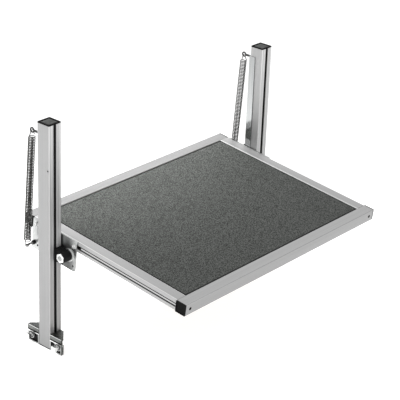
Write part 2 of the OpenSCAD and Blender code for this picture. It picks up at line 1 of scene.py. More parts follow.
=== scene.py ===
# %% [markdown]
# # A footrest that climbs its own posts
#
# The real object is a framed platform for the feet, held between two slotted
# aluminium posts. It stays at any height because its own weight cants it, so
# that a shoe on the front of each post and a pad on the rear bite into the metal.
# The construction arrives finished, in metres, from the packed model. What is
# left to make here is how it looks: the camera, the light, the finish of every
# surface and the springs, whose fine form the construction leaves plain.
#
# This first cell loads the packed model and reads where its parts are. Its parts
# must not be moved, so we only read where they are.

# %% Load the packed model
import math

import bpy
from mathutils import Matrix, Vector


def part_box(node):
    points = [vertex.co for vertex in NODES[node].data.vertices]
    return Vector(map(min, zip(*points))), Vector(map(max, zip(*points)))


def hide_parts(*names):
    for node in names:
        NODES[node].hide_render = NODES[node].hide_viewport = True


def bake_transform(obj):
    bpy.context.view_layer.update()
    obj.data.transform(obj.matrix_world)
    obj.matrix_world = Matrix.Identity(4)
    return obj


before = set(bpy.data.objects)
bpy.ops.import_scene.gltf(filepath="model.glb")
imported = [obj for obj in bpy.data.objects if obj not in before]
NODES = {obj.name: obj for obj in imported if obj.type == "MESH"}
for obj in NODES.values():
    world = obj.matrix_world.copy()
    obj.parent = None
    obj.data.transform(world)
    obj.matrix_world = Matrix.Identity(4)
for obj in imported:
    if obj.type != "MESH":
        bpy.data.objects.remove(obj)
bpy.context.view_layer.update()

MM = 0.001
X, Y, Z = range(3)

# %% [markdown]
# ## The camera
#
# A photograph fixes its camera: the vanishing points give its heading and its
# lens, and the corners of a part of known size give its place. The heading here
# is measured from +Y towards +X, the dip is below the horizon, and the camera
# is rolled a little, as hand-set product shots often are. We build the rotation
# from its three axes rather than from Euler angles, because each axis then has
# a plain meaning and nothing depends on the order of turns.

# %% Place the camera
HEADING = math.radians(49.66)
DIP = math.radians(24.87)
ROLL = math.radians(2.31)
CAMERA_AT = Vector((-2.6926, -2.4251, 1.9538))
PLATFORM_AT = Vector((0, -0.155, 0.3))
SENSOR = 36.0
LENS = 138.27


def camera_rotation(heading, dip, roll):
    """Axes of a camera that looks along its own -Z with its own +Y up."""
    ahead = Vector((
        math.sin(heading) * math.cos(dip),
        math.cos(heading) * math.cos(dip),
        -math.sin(dip),
    ))
    level = Vector((math.cos(heading), -math.sin(heading), 0))
    upright = level.cross(ahead)
    right = level * math.cos(roll) + upright * math.sin(roll)
    up = upright * math.cos(roll) - level * math.sin(roll)
    return Matrix((right, up, -ahead)).transposed()


lens_data = bpy.data.cameras.new("portrait_camera")
lens_data.sensor_width = SENSOR
lens_data.lens = LENS
lens_data.clip_start = 0.1
lens_data.clip_end = 50
camera = bpy.data.objects.new("portrait_camera", lens_data)
camera.matrix_world = Matrix.Translation(CAMERA_AT) @ camera_rotation(HEADING, DIP, ROLL).to_4x4()
bpy.context.scene.collection.objects.link(camera)
bpy.context.scene.camera = camera

print("camera to platform:", round((CAMERA_AT - PLATFORM_AT).length, 2), "m")

# %% [markdown]
# ## The floor
#
# A photographer's cove is a pale sheet that runs on past the edges of the
# picture, and one large square does the same here. A plain white square would
# show where the lamps' light falls off, as grey patches. So the floor is painted
# grey and glows a little, which keeps it even and close to white.

# %% Lay the floor
FLOOR_SIDE = 24.0
FLOOR_TONE = (0.4, 0.4, 0.4)
FLOOR_GLOW = 0.72
WHITE = (1, 1, 1, 1)


def floor_finish():
    """Pale matt floor that glows a little, as a lit cove does."""
    finish = bpy.data.materials.new("pale_floor")
    finish.use_nodes = True
    shader = finish.node_tree.nodes["Principled BSDF"]
    shader.inputs["Base Color"].default_value = (*FLOOR_TONE, 1)
    shader.inputs["Roughness"].default_value = 0.9
    shader.inputs["Emission Color"].default_value = WHITE
    shader.inputs["Emission Strength"].default_value = FLOOR_GLOW
    return finish


def floor_plane():
    """Square floor under the posts' feet."""
    mesh = bpy.data.meshes.new("floor")
    half = FLOOR_SIDE / 2
    corners = [(-half, -half, 0), (half, -half, 0), (half, half, 0), (-half, half, 0)]
    mesh.from_pydata(corners, [], [(0, 1, 2, 3)])
    floor = bpy.data.objects.new("floor", mesh)
    floor.data.materials.append(floor_finish())
    bpy.context.scene.collection.objects.link(floor)


floor_plane()
print("floor:", FLOOR_SIDE, "m wide, with a glow of", FLOOR_GLOW)

# %% [markdown]
# ## The light
#
# Metal shows what it reflects more than its own colour, so a white room does
# most of the work. Soft lamps then give each face its own grey. Area lamps are
# used instead of points or a sun because their size sets how soft the highlights
# are. The mat grows lighter towards its rear edge, so a long and narrow lamp
# hangs above that edge. Metal doesn't mirror this lamp, which would otherwise
# bleach the posts. Tones are shown as they are, without a film curve, so that
# the cove stays white and the black plastic stays black.

# %% Light the cove
ROOM_BRIGHTNESS = 1.15
FRONT_LAMP_AT = (0.3, -2.6, 0.9)
FRONT_LAMP_AIM = (0, -0.1, 0.3)
MAT_LAMP_AT = (-0.14, 0.36, 0.92)
MAT_LAMP_AIM = (-0.14, 0.3, 0.3)


def soft_lamp(name, place, aim, size, watts, spread=180, glare=True):
    """Area lamp of a width and depth; without glare no metal mirrors it."""
    data = bpy.data.lights.new(name, "AREA")
    data.shape = "RECTANGLE"
    data.size, data.size_y = size
    data.energy = watts
    data.spread = math.radians(spread)
    lamp = bpy.data.objects.new(name, data)
    lamp.location = place
    lamp.rotation_euler = (Vector(aim) - Vector(place)).to_track_quat("-Z", "Y").to_euler()
    lamp.visible_glossy = glare
    bpy.context.scene.collection.objects.link(lamp)
    return lamp


room = bpy.data.worlds.new("white_room")
room.use_nodes = True
room.node_tree.nodes["Background"].inputs["Color"].default_value = WHITE
room.node_tree.nodes["Background"].inputs["Strength"].default_value = ROOM_BRIGHTNESS
bpy.context.scene.world = room
bpy.context.scene.view_settings.view_transform = "Standard"
lamps = [
    soft_lamp("lamp_front", FRONT_LAMP_AT, FRONT_LAMP_AIM, size=(1.0, 1.0), watts=16),
    soft_lamp("lamp_above", MAT_LAMP_AT, MAT_LAMP_AIM, size=(1.4, 0.3), watts=15.5,
              spread=110, glare=False),
]

print("lamps:", [lamp.name for lamp in lamps])

# %% [markdown] ## A kit for node materials  Every finish below is a small tree
# of nodes that reads the surface's own place in the model, never the camera, so
# it stays put when the part turns or moves. Pictures could be wrapped round the
# metal instead, but they need unfolded meshes and blur from close by. Its first
# half does the sums.

# %% Nodes for sums
class Tree:
    """The nodes of one material, with a short call for each kind of sum."""

    def __init__(self, name):
        self.material = bpy.data.materials.new(name)
        self.material.use_nodes = True
        self.tree = self.material.node_tree
        self.place = self.node("ShaderNodeTexCoord", {}).outputs["Object"]

    def give(self, node, entry, value):
        """Sets a node's entry to a plain value, or joins another node's output to it."""
        target = node.inputs[entry]
        if isinstance(value, bpy.types.NodeSocket):
            self.tree.links.new(value, target)
        elif target.type == "RGBA":
            target.default_value = (*value, 1)
        else:
            target.default_value = value

    def node(self, kind, entries, **settings):
        """Adds a node and fills its entries, each by its name or number."""
        made = self.tree.nodes.new(kind)
        for setting, choice in settings.items():
            setattr(made, setting, choice)
        for entry, value in entries.items():
            self.give(made, entry, value)
        return made

    def mapped(self, vector, **entries):
        """A vector after a turn, a stretch or a shift."""
        return self.node("ShaderNodeMapping", {"Vector": vector, **entries}).outputs["Vector"]

    def axes(self, vector):
        """The three coordinates of a vector, each by itself."""
        return tuple(self.node("ShaderNodeSeparateXYZ", {"Vector": vector}).outputs)

    def reckon(self, operation, first, second=0.0):
        """One step of arithmetic; each value is a number or another node's output."""
        entries = {0: first, 1: second}
        return self.node("ShaderNodeMath", entries, operation=operation).outputs["Value"]

    def fade(self, value, start, end):
        """0 at start and 1 at end, straight between them."""
        entries = {"Value": value, "From Min": start, "From Max": end}
        return self.node("ShaderNodeMapRange", entries).outputs["Result"]


print("kit for sums:", [call for call in vars(Tree) if not call.startswith("_")])

# Noise and cells give a pattern, a ramp turns it into tones, and masks lay one
# tone over another. A value that is the same all over is set on the shader
# itself, and only what varies gets nodes. Relief finer than the mesh is a bump,
# which changes only how the light falls and costs no faces.

# %% Nodes for looks
def grey(shade):
    """A tone with as much red as green and blue."""
    return (shade, shade, shade)


def shifted(tone, by):
    """A tone made lighter, or darker by a value below 0."""
    return tuple(part + by for part in tone)


class Finish(Tree):
    """A material whose colour, roughness and relief can follow a pattern."""

    def __init__(self, name, colour, roughness, metallic=0.0):
        super().__init__(name)
        self.shader = self.tree.nodes["Principled BSDF"]
        self.give(self.shader, "Base Color", colour)
        self.give(self.shader, "Roughness", roughness)
        self.give(self.shader, "Metallic", metallic)

    def noise(self, vector, scale=1.0, detail=2.0):
        """Clouds of values round a half."""
        entries = {"Vector": vector, "Scale": scale, "Detail": detail}
        return self.node("ShaderNodeTexNoise", entries).outputs["Fac"]

    def cells(self, vector, scale, output="Distance"):
        """Cells: the distance to each one's middle, or a tone drawn for each cell."""
        entries = {"Vector": vector, "Scale": scale}
        return self.node("ShaderNodeTexVoronoi", entries, feature="F1").outputs[output]

    def ramp(self, value, *stops):
        """Colours between two stops, each a value and its tone."""
        made = self.node("ShaderNodeValToRGB", {"Fac": value})
        for element, (position, tone) in zip(made.color_ramp.elements, stops):
            element.position = position
            element.color = (*tone, 1)
        return made.outputs["Color"]

    def varied(self, pattern, tone, by, low=0.35, high=0.65):
        """A tone that a pattern makes darker and lighter by the same amount."""
        return self.ramp(pattern, (low, shifted(tone, -by)), (high, shifted(tone, by)))

    def mixed(self, share, first, second, blend_type="MIX"):
        """The first colour where the share is 0 and the second where it is 1."""
        made = self.node("ShaderNodeMix", {"Factor": share}, data_type="RGBA", blend_type=blend_type)
        colours = [number for number, entry in enumerate(made.inputs) if entry.type == "RGBA"]
        self.give(made, colours[0], first)
        self.give(made, colours[1], second)
        return next(result for result in made.outputs if result.type == "RGBA")

    def colour_from(self, tone):
        self.give(self.shader, "Base Color", tone)

    def roughness_from(self, pattern, low, high):
        """Roughness that runs from low to high as a pattern goes from 0 to 1."""
        entries = {"Value": pattern, "To Min": low, "To Max": high}
        self.give(self.shader, "Roughness", self.node("ShaderNodeMapRange", entries).outputs["Result"])

    def bump(self, height, strength, distance):
        """Shades the surface as if a pattern stood up from it by a distance."""
        entries = {"Height": height, "Strength": strength, "Distance": distance}
        self.give(self.shader, "Normal", self.node("ShaderNodeBump", entries).outputs["Normal"])


print("kit for looks:", [call for call in vars(Finish) if not call.startswith("_")])

# %% [markdown]
# ## Masks, and how parts get their finish
#
# Lines and shadows could all be cut into the meshes. Where they are only a
# millimetre or two wide, the colour tells them just as well. A mask is 1 where
# such a form lies and 0 elsewhere, and it follows from how far a point is from a
# plane or an axis. The left and the right half of the object mirror each other,
# so most masks take a coordinate without its sign, and one finish serves both.

# %% Masks and pairs
SPOT_OUTSIDE = 1.15
SPOT_INSIDE = 0.95


def positive(finish, value):
    """A coordinate without its sign, so that both sides are treated alike."""
    return finish.reckon("ABSOLUTE", value)


def from_centre(finish, value, centre):
    """How far a coordinate lies from a centre."""
    return positive(finish, finish.reckon("SUBTRACT", value, centre))


def distance(finish, across, up, centre):
    """How far a point lies from a centre, in a plane of two coordinates."""
    side = finish.reckon("SUBTRACT", across, centre[0])
    rise = finish.reckon("SUBTRACT", up, centre[1])
    side_squared = finish.reckon("MULTIPLY", side, side)
    rise_squared = finish.reckon("MULTIPLY", rise, rise)
    return finish.reckon("SQRT", finish.reckon("ADD", side_squared, rise_squared))


def spot(finish, across, up, centre, radius):
    """1 within a radius of a centre and 0 beyond it, with a soft rim."""
    away = distance(finish, across, up, centre)
    return finish.fade(away, radius * SPOT_OUTSIDE, radius * SPOT_INSIDE)


def pair(piece):
    """Names of the left and the right one of a piece."""
    return ["left_" + piece, "right_" + piece]


def wear(finish, names):
    """Gives parts a finish in place of their flat colour."""
    for name in names:
        for slot in NODES[name].material_slots:
            slot.link = "OBJECT"
            slot.material = finish.material


print("parts that need a finish:", len(NODES))

# %% [markdown]
# ## Where the metal lies
#
# The finishes need to know where posts and rails run. These places could be
# typed in, but then the looks and the construction could drift apart, so all of
# them are read from the packed model. The platform slopes. Masks on it are told
# in its own coordinates, which start at the front rail's axis and are laid level.

# %% Measure the frame
def middle(node):
    """Middle of a part's box."""
    low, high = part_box(node)
    return (low + high) / 2


POST_LOW, POST_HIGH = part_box("right_post")
RAIL_LOW, RAIL_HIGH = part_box("right_side_rail")
POST_HALF = (POST_HIGH.y - POST_LOW.y) / 2
RAIL_HALF = (RAIL_HIGH.x - RAIL_LOW.x) / 2
POST_X = middle("right_post").x
SIDE_RAIL_X = middle("right_side_rail").x
FRONT_AXIS = middle("front_rail")
REAR_AXIS = middle("rear_rail")
RAIL_SPAN = (REAR_AXIS - FRONT_AXIS).length
TILT = math.atan2(REAR_AXIS.z - FRONT_AXIS.z, REAR_AXIS.y - FRONT_AXIS.y)


def on_platform(finish):
    """Coordinates from the front rail's axis, laid level."""
    start = Matrix.Rotation(-TILT, 3, "X") @ Vector((0, FRONT_AXIS.y, FRONT_AXIS.z))
    return finish.axes(finish.mapped(finish.place, Rotation=(-TILT, 0, 0), Location=-start))


print("platform slope:", round(math.degrees(TILT), 2), "degrees; rails", round(RAIL_SPAN, 4), "m apart")

# %% [markdown]
# ## Anodised profile
#
# The posts and rails are drawn through a die and then anodised. That leaves a
# satin skin with faint lines along the length and slow changes of tone across
# it. One noise stretched along the profile makes the fine lines and another
# makes the slow bands. Each edge gets a painted line: a painted highlight on the
# posts and side rails, and painted shade on the front and rear rails. Inside the
# slots little light returns, so all that lies more than a millimetre behind the
# outer faces is painted dark, as painted shade. How deep a point lies follows
# from its two distances to the profile's own axis.

# %% Drawn metal
FINE_LINES = 1400
SLOW_BANDS = 45
ALONG = 3
LINE_CONTRAST = 0.05
BAND_CONTRAST = 0.03
LINE_STOPS = (0.3, 0.7)
LINE_HEIGHT = 0.04 * MM
SKIN_ROUGHNESS = (0.34, 0.46)
SKIN_DEPTH = 0.9 * MM
SKIN_FADE = 0.6 * MM
SLOT_SHADE = grey(0.022)
WALL_SKIN = 0.5 * MM
WALL_FADE = 0.3 * MM


def lengthwise(across, along, axis):
    """Scale of a pattern on each axis, so that it runs along one of them."""
    scale = [across] * 3
    scale[axis] = along
    return scale


def drawn_profile(name, axis, half, offsets, shade, painted_edge_tone, edge_width):
    """Satin skin with lines along one axis, painted edge lines and painted shade in the slots."""
    finish = Finish(name, grey(shade), roughness=0.4, metallic=0.6)
    slope = 0.0 if axis == Z else -TILT
    level = finish.mapped(finish.place, Rotation=(slope, 0, 0))
    fine = finish.mapped(level, Scale=lengthwise(FINE_LINES, ALONG, axis))
    slow = finish.mapped(level, Scale=lengthwise(SLOW_BANDS, ALONG / 2, axis))
    finish.lines = finish.noise(fine, detail=3)
    line_tone = finish.varied(finish.lines, grey(shade), LINE_CONTRAST, *LINE_STOPS)
    band_tone = finish.varied(finish.noise(slow), grey(shade), BAND_CONTRAST, *LINE_STOPS)
    skin = finish.mixed(0.5, line_tone, band_tone)
    first, second = offsets(finish)
    innermost = finish.reckon("MINIMUM", first, second)
    outermost = finish.reckon("MAXIMUM", first, second)
    # Painted edge lines: a painted highlight where the edge tone is lighter than the skin, painted
    # shade where it is darker.
    painted_edge = finish.fade(innermost, half - edge_width, half - edge_width / 2)
    skin = finish.mixed(painted_edge, skin, grey(painted_edge_tone))
    # Painted shade inside the slots, behind the outer faces.
    inside = finish.fade(outermost, half - SKIN_DEPTH, half - SKIN_DEPTH - SKIN_FADE)
    finish.tone = finish.mixed(inside, skin, SLOT_SHADE)
    finish.roughness_from(finish.lines, *SKIN_ROUGHNESS)
    finish.bump(finish.lines, strength=0.12, distance=LINE_HEIGHT)
    return finish


def paint_wall_light(finish, value, wall, shade):
    """Painted light: lighter skin where a coordinate, taken positive, reaches a wall."""
    start = wall - WALL_SKIN
    reached = finish.fade(positive(finish, value), start, start + WALL_FADE)
    skin = finish.varied(finish.lines, grey(shade), LINE_CONTRAST, *LINE_STOPS)
    finish.tone = finish.mixed(reached, finish.tone, skin)


print("lines of about", round(1 / FINE_LINES / MM, 1), "mm, bands of about",
      round(1 / SLOW_BANDS / MM), "mm")

# %% [markdown]
# ## Posts
#
# The posts' front and rear walls are painted lighter than the sides, as painted
# light, since the front walls face the lamps. Towards the feet the white floor
# lights the posts more than it does in the photograph. More lamps could balance
# that, but they would light the mat as well, so painted shade darkens the skin
# on its way down. The small stop hole in the outer side is cut in the
# construction, and a mask paints shade into it and its rim.

# %% Dress the posts
STOP_HOLE = (-16 * MM, 483 * MM)
STOP_HOLE_R = 2.2 * MM
RECESS_SHADE = grey(0.01)
FOOT_SHADE_START_Z = 550 * MM
FOOT_SHADE_END_Z = 120 * MM
FOOT_SHADE_TONE = grey(0.68)


def post_offsets(finish):
    """How far a point lies from the nearer post's axis, sideways and forwards."""
    x, y, _ = finish.axes(finish.place)
    return from_centre(finish, positive(finish, x), POST_X), positive(finish, y)


def post_metal():
    finish = drawn_profile("anodised_post", Z, POST_HALF, post_offsets,
                           shade=0.37, painted_edge_tone=0.64, edge_width=2 * MM)
    x, y, z = finish.axes(finish.place)
    # Painted light on the front and rear walls of the posts.
    paint_wall_light(finish, y, POST_HALF, shade=0.47)
    # Painted shade: the skin darkens towards the feet, against the floor's light.
    foot_shade = finish.fade(z, FOOT_SHADE_START_Z, FOOT_SHADE_END_Z)
    finish.tone = finish.mixed(foot_shade, finish.tone, FOOT_SHADE_TONE, "MULTIPLY")
    outer_side = finish.fade(positive(finish, x), POST_X, POST_X + MM)
    # Painted shade inside the stop hole and its rim.
    stop_hole = finish.reckon("MULTIPLY", spot(finish, y, z, STOP_HOLE, STOP_HOLE_R), outer_side)
    finish.colour_from(finish.mixed(stop_hole, finish.tone, RECESS_SHADE))
    return finish


wear(post_metal(), pair("post"))
print("posts of", round(2 * POST_HALF / MM, 1), "mm, stop hole at", round(STOP_HOLE[1] / MM), "mm")

# %% [markdown]
# ## Rails
#
# The rails are the same kind of profile in a smaller size. The front and the
# rear rail have key holes, through which the corner screws are turned, and a
# mask paints shade into them. The rear rail lies under the lamp of the mat, so
# its skin is painted darker, as painted shade against that lamp, to end up as
# grey as in the photograph. The side rails have painted light on their outer
# walls, and a painted dark line where the slot's lower lip lies in shadow.

# %% Dress the rails
KEY_HOLE_R = 3.9 * MM
KEY_HOLE_SHADE = grey(0.006)
SLOT_LIP = 4.5 * MM
LIP_SHADOW = (1.8 * MM, 1.5 * MM)


def cross_rail_offsets(finish):
    """How far a point lies from the nearer cross rail's axis, lengthwise and up."""
    _, along, up = on_platform(finish)
    from_middle = from_centre(finish, along, RAIL_SPAN / 2)
    return from_centre(finish, from_middle, RAIL_SPAN / 2), positive(finish, up)


def side_rail_offsets(finish):
    """How far a point lies from the nearer side rail's axis, sideways and up."""
    x, _, up = on_platform(finish)
    return from_centre(finish, positive(finish, x), SIDE_RAIL_X), positive(finish, up)


def cross_rail_metal(rail, shade):
    finish = drawn_profile("anodised_" + rail, X, RAIL_HALF, cross_rail_offsets,
                           shade=shade, painted_edge_tone=0.2, edge_width=1.2 * MM)
    x, _, up = on_platform(finish)
    # Painted shade inside the key holes.
    key_hole = spot(finish, positive(finish, x), up, (SIDE_RAIL_X, 0), KEY_HOLE_R)
    finish.colour_from(finish.mixed(key_hole, finish.tone, KEY_HOLE_SHADE))
    return finish


def side_rail_metal():
    finish = drawn_profile("anodised_side_rail", Y, RAIL_HALF, side_rail_offsets,
                           shade=0.3, painted_edge_tone=0.62, edge_width=2.2 * MM)
    x, _, up = on_platform(finish)
    # Painted light on the outer walls of the side rails.
    paint_wall_light(finish, x, SIDE_RAIL_X + RAIL_HALF, shade=0.37)
    # Painted shadow under the slot's lower lip.
    under_lip = finish.fade(from_centre(finish, up, -SLOT_LIP), *LIP_SHADOW)
    finish.colour_from(finish.mixed(under_lip, finish.tone, SLOT_SHADE))
    return finish


wear(cross_rail_metal("front_rail", shade=0.31), ["front_rail"])
# Painted shade: the rear rail's skin is darker against the light of the mat's lamp.
wear(cross_rail_metal("rear_rail", shade=0.225), ["rear_rail"])
wear(side_rail_metal(), pair("side_rail"))
print("rails of", round(2 * RAIL_HALF / MM, 1), "mm, key holes at x =", round(SIDE_RAIL_X, 4))

# %% [markdown]
# ## Moulded plastic
#
# Caps, shoes and pads are black moulded plastic and rubber. Their grain is so
# fine that it only softens the highlights, so a small noise drives the bump and
# the roughness, and the colour barely changes. A white room would turn black
# plastic grey by its gloss, so the gloss is turned down. The posts' top caps
# have a sunk middle that is greyer than the rim, in slow patches. The strip in
# each side rail's slot is a light plastic rib: only its face is light, and what
# lies behind it and beside it is in the slot's shadow.

# %% Plastic and rubber
GRAIN = 1600
GRAIN_HEIGHT = 0.06 * MM
CAP_RIM = 6.4 * MM
CAP_FADE = 0.6 * MM
CAP_PATCHES = 150
RIB_HALF = 1.7 * MM
RIB_DEPTH = 0.7 * MM
RIB_FADE = 0.4 * MM
RIB_SHADOW = grey(0.012)


def moulded(name, low, high, roughness, gloss):
    """Fine-grained moulded plastic between two greys."""
    finish = Finish(name, grey(low), roughness)
    finish.give(finish.shader, "Specular IOR Level", gloss)
    grain = finish.noise(finish.place, scale=GRAIN)
    finish.tone = finish.ramp(grain, (0.35, grey(low)), (0.65, grey(high)))
    finish.colour_from(finish.tone)
    finish.roughness_from(grain, roughness - 0.08, roughness + 0.08)
    finish.bump(grain, strength=0.25, distance=GRAIN_HEIGHT)
    return finish


def grey_middle_cap():
    """Black cap whose middle is grey in slow patches."""
    finish = moulded("grey_middle_cap", 0.002, 0.004, roughness=0.5, gloss=0.04)
    out = finish.reckon("MAXIMUM", *post_offsets(finish))
    inner = finish.fade(out, POST_HALF - CAP_RIM, POST_HALF - CAP_RIM - CAP_FADE)
    patches = finish.noise(finish.place, scale=CAP_PATCHES, detail=3)
    paler = finish.ramp(patches, (0.35, (0.03, 0.031, 0.03)), (0.65, (0.05, 0.052, 0.051)))
    finish.colour_from(finish.mixed(inner, finish.tone, paler))
    return finish


def cover_strip_plastic():
    """Light rib with shadow behind and beside its face."""
    finish = moulded("cover_strip_plastic", 0.42, 0.48, roughness=0.45, gloss=0.4)
    across, up = side_rail_offsets(finish)
    behind = finish.fade(across, RAIL_HALF - RIB_DEPTH, RAIL_HALF - RIB_DEPTH - RIB_FADE)
    beside = finish.fade(up, RIB_HALF, RIB_HALF + RIB_FADE)
    shadow = finish.reckon("MAXIMUM", behind, beside)
    finish.colour_from(finish.mixed(shadow, finish.tone, RIB_SHADOW))
    return finish


wear(moulded("black_plastic", 0.002, 0.005, roughness=0.5, gloss=0.06),
     ["post_foot_caps", "rail_end_caps", *pair("rear_pad")])
wear(moulded("shoe_rubber", 0.004, 0.008, roughness=0.5, gloss=0.1), pair("front_shoe"))
wear(grey_middle_cap(), ["post_top_caps"])
wear(cover_strip_plastic(), pair("cover_strip"))
print("rubbed middle of a cap:", round(2 * (POST_HALF - CAP_RIM) / MM, 1), "mm wide")

# %% [markdown]
# ## Plated hardware
#
# Screws, nuts and washers are zinc plated: smooth, bright and a little uneven in
# tone. Pad bolts, pins and eye bolts have darkened, and the small screws are
# blackened. Threads are too fine to model at this size, so they are a bump that
# repeats along the screw. The big bolt in each shoe has a bright chamfer round a
# duller forged face, which a mask round the bolt's axis tells apart.

# %% Plated and forged
TONE_DRIFT = 220
THREAD_PITCH = 1.25 * MM
THREAD_HEIGHT = 0.4 * MM
BOLT_AXIS = middle("left_shoe_bolt")
FORGED_R = 7.2 * MM
FORGED_FADE = 0.8 * MM
FORGED_MARKS = 500
FORGED_HEIGHT = 0.1 * MM
ZINC = (0.68, 0.685, 0.68)


def plated(name, colour, roughness, spread=0.06):
    """Plated or bare metal whose tone drifts from place to place."""
    finish = Finish(name, colour, roughness, metallic=1.0)
    finish.drift = finish.noise(finish.place, scale=TONE_DRIFT, detail=3)
    finish.tone = finish.varied(finish.drift, colour, spread)
    finish.colour_from(finish.tone)
    finish.roughness_from(finish.drift, roughness - 0.05, roughness + 0.07)
    return finish


def threaded(name, colour, roughness, axis):
    """Plated metal with the crests of a thread along one axis."""
    finish = plated(name, colour, roughness)
    along = finish.axes(finish.place)[axis]
    crest = finish.reckon("PINGPONG", along, THREAD_PITCH / 2)
    finish.bump(finish.fade(crest, 0, THREAD_PITCH / 2), strength=1.0, distance=THREAD_HEIGHT)
    return finish


def forged_head():
    """Bolt whose hexagon is dull in the middle and bright at its chamfer."""
    finish = plated("forged_bolt", (0.74, 0.745, 0.74), 0.25)
    _, y, z = finish.axes(finish.place)
    away = distance(finish, y, z, (BOLT_AXIS.y, BOLT_AXIS.z))
    inner = finish.fade(away, FORGED_R, FORGED_R - FORGED_FADE)
    marks = finish.noise(finish.place, scale=FORGED_MARKS, detail=3)
    dull = finish.ramp(marks, (0.35, (0.2, 0.205, 0.2)), (0.65, (0.36, 0.365, 0.36)))
    finish.colour_from(finish.mixed(inner, finish.tone, dull))
    finish.bump(marks, strength=0.2, distance=FORGED_HEIGHT)
    return finish


wear(plated("bright_zinc", ZINC, 0.26), [
    "strip_screws", "strip_slot_nuts", "eye_bolt_nuts", "bracket_post_nuts",
    "bracket_bench_nuts", "plate_screws", "plate_slot_nuts", "shoe_bolt_nuts",
])
wear(plated("pad_bolt_zinc", grey(0.2), 0.3), ["pad_bolts"])
wear(plated("washer_zinc", (0.85, 0.855, 0.85), 0.3), ["shoe_washers"])
wear(plated("pin_zinc", grey(0.42), 0.3), pair("spring_pin"))
wear(threaded("eye_bolt_zinc", grey(0.09), 0.3, axis=Y), pair("eye_bolt"))
wear(threaded("screw_zinc", ZINC, 0.26, axis=X), ["bracket_bench_screws"])
wear(forged_head(), pair("shoe_bolt"))
wear(plated("black_oxide", grey(0.03), 0.42, spread=0.01),
     ["bracket_post_screws", "spring_pin_nuts", "corner_screws"])
print("shoe bolt axis at y, z:", round(BOLT_AXIS.y, 4), round(BOLT_AXIS.z, 4))

# %% [markdown]
# ## Rolled metal
#
# The wear strips are rolled steel, glossy and with fine lines along the strip.
# The side plates are satin. Noise stretched along the sheet makes the lines, as
# it did on the posts. Each plate has two spare holes low down, and a mask
# paints shade into them as it does into the stop holes.

# %% Strips and plates
ROLLED_CONTRAST = 0.05
ROLLED_HEIGHT = 0.03 * MM
SPARE_HOLES = ((344.9 * MM, -56 * MM), (469 * MM, -56 * MM))
SPARE_HOLE_R = 2.7 * MM


def rolled(name, colour, roughness, axis):
    """Rolled sheet with fine lines along one axis."""
    finish = Finish(name, colour, roughness, metallic=1.0)
    fine = finish.mapped(finish.place, Scale=lengthwise(FINE_LINES, ALONG * 3, axis))
    lines = finish.noise(fine)
    finish.tone = finish.varied(lines, colour, ROLLED_CONTRAST)
    finish.colour_from(finish.tone)
    finish.roughness_from(lines, roughness - 0.05, roughness + 0.08)
    finish.bump(lines, strength=0.1, distance=ROLLED_HEIGHT)
    return finish


def plate_metal():
    """Satin plate, with painted shade inside its two spare holes."""
    finish = rolled("side_plate_metal", (0.46, 0.47, 0.465), 0.3, axis=Y)
    _, along, up = on_platform(finish)
    # Painted shade inside each spare hole.
    for hole in SPARE_HOLES:
        inside = spot(finish, along, up, hole, SPARE_HOLE_R)
        finish.tone = finish.mixed(inside, finish.tone, RECESS_SHADE)
    finish.colour_from(finish.tone)
    return finish


wear(rolled("wear_strip_steel", (0.4, 0.41, 0.41), 0.1, axis=Z), pair("wear_strip"))
wear(plate_metal(), pair("side_plate"))
print("spare holes in each plate:", len(SPARE_HOLES))

# %% [markdown]
# ## Cast brackets
#
# The brackets are cast and then tumbled: glossy on their proud faces, with
# painted shade in the pockets of the outer wall. A point that lies a little
# behind the outer face is in a pocket, as it was with the slots. Across the face
# run a painted highlight at the top edge, a groove in painted shade and a ridge
# with a painted highlight, and below the ridge the face is lighter. These four
# are masks of the height alone.

# %% Cast brackets
BRACKET_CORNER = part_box("right_front_bracket")[1]
BRACKET_FACE = BRACKET_CORNER.x
BRACKET_TOP = BRACKET_CORNER.z
GROOVE_Z = 31.2 * MM
RIDGE_Z = 27.8 * MM
CAST_HEIGHT = 0.6 * MM
UPPER_TONE = (0.13, 0.135, 0.13)
LOWER_TONE = (0.36, 0.365, 0.36)
RIDGE_HIGHLIGHT = (0.75, 0.755, 0.75)
TOP_EDGE_HIGHLIGHT = (0.6, 0.605, 0.6)
POCKET_SHADE = grey(0.004)

# Each pair says where a mask is 0 and where it is 1.
PROUD = (0.4 * MM, 0.1 * MM)
POCKET_MOUTH = (0.5 * MM, 1.0 * MM)
POCKET_FLOOR = (3.2 * MM, 2.7 * MM)
RIDGE = (1.7 * MM, 1.3 * MM)
GROOVE = (2.2 * MM, 1.6 * MM)
BELOW_RIDGE = (RIDGE_Z, RIDGE_Z - MM)
TOP_LINE = (BRACKET_TOP - 1.6 * MM, BRACKET_TOP - 1.2 * MM)


def face_tone(finish, z):
    """Tone of the outer face, from its height alone, with painted highlights and painted shade."""
    face = finish.mixed(finish.fade(z, *BELOW_RIDGE), UPPER_TONE, LOWER_TONE)
    # Painted highlight on the ridge.
    ridge = finish.fade(from_centre(finish, z, RIDGE_Z), *RIDGE)
    face = finish.mixed(ridge, face, RIDGE_HIGHLIGHT)
    # Painted highlight along the top edge.
    face = finish.mixed(finish.fade(z, *TOP_LINE), face, TOP_EDGE_HIGHLIGHT)
    # Painted shade in the groove.
    groove = finish.fade(from_centre(finish, z, GROOVE_Z), *GROOVE)
    return finish.mixed(groove, face, RECESS_SHADE)


